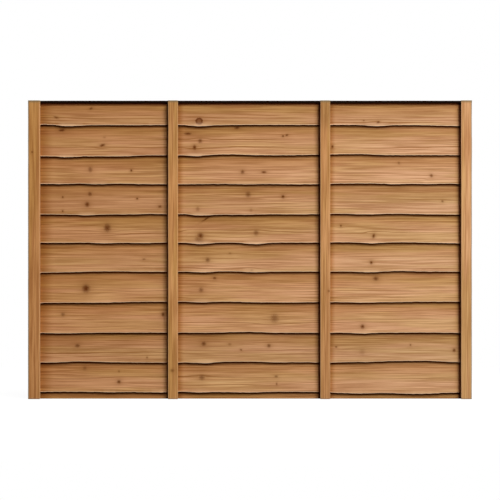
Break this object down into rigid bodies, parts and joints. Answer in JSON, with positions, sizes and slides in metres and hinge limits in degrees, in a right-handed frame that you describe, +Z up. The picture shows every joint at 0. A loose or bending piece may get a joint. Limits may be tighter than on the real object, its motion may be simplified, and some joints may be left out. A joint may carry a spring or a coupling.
{
  "type": "waney lap fence panel",
  "caption": "Six foot by four foot timber fence panel of overlapping boards with natural wavy lower edges, held between upright battens and a rear frame.",
  "frame": {"origin": "centre of the panel's footprint, on the ground", "axes": "+X along the panel's width, to the right seen from the front; +Y through its thickness, towards the back; +Z up"},
  "size_m": [1.828, 0.047, 1.23],
  "materials": {
    "board_wood": "matte",
    "batten_wood": "matte",
    "frame_wood": "matte",
    "packer_wood": "matte",
    "nail_steel": "satin"
  },
  "bodies": {
    "root": {"lap_board_01": "board_wood", "lap_board_02": "board_wood", "lap_board_03": "board_wood", "lap_board_04": "board_wood", "lap_board_05": "board_wood", "lap_board_06": "board_wood", "lap_board_07": "board_wood", "lap_board_08": "board_wood", "lap_board_09": "board_wood", "lap_board_10": "board_wood", "bottom_board": "board_wood", "front_batten_left_end": "batten_wood", "front_batten_left_mid": "batten_wood", "front_batten_right_mid": "batten_wood", "front_batten_right_end": "batten_wood", "rear_batten_left_end": "frame_wood", "rear_batten_left_mid": "frame_wood", "rear_batten_right_mid": "frame_wood", "rear_batten_right_end": "frame_wood", "rear_bottom_rail": "frame_wood", "rear_top_rail": "frame_wood", "top_packer": "packer_wood", "frame_nails": "nail_steel"}
  },
  "joints": []
}
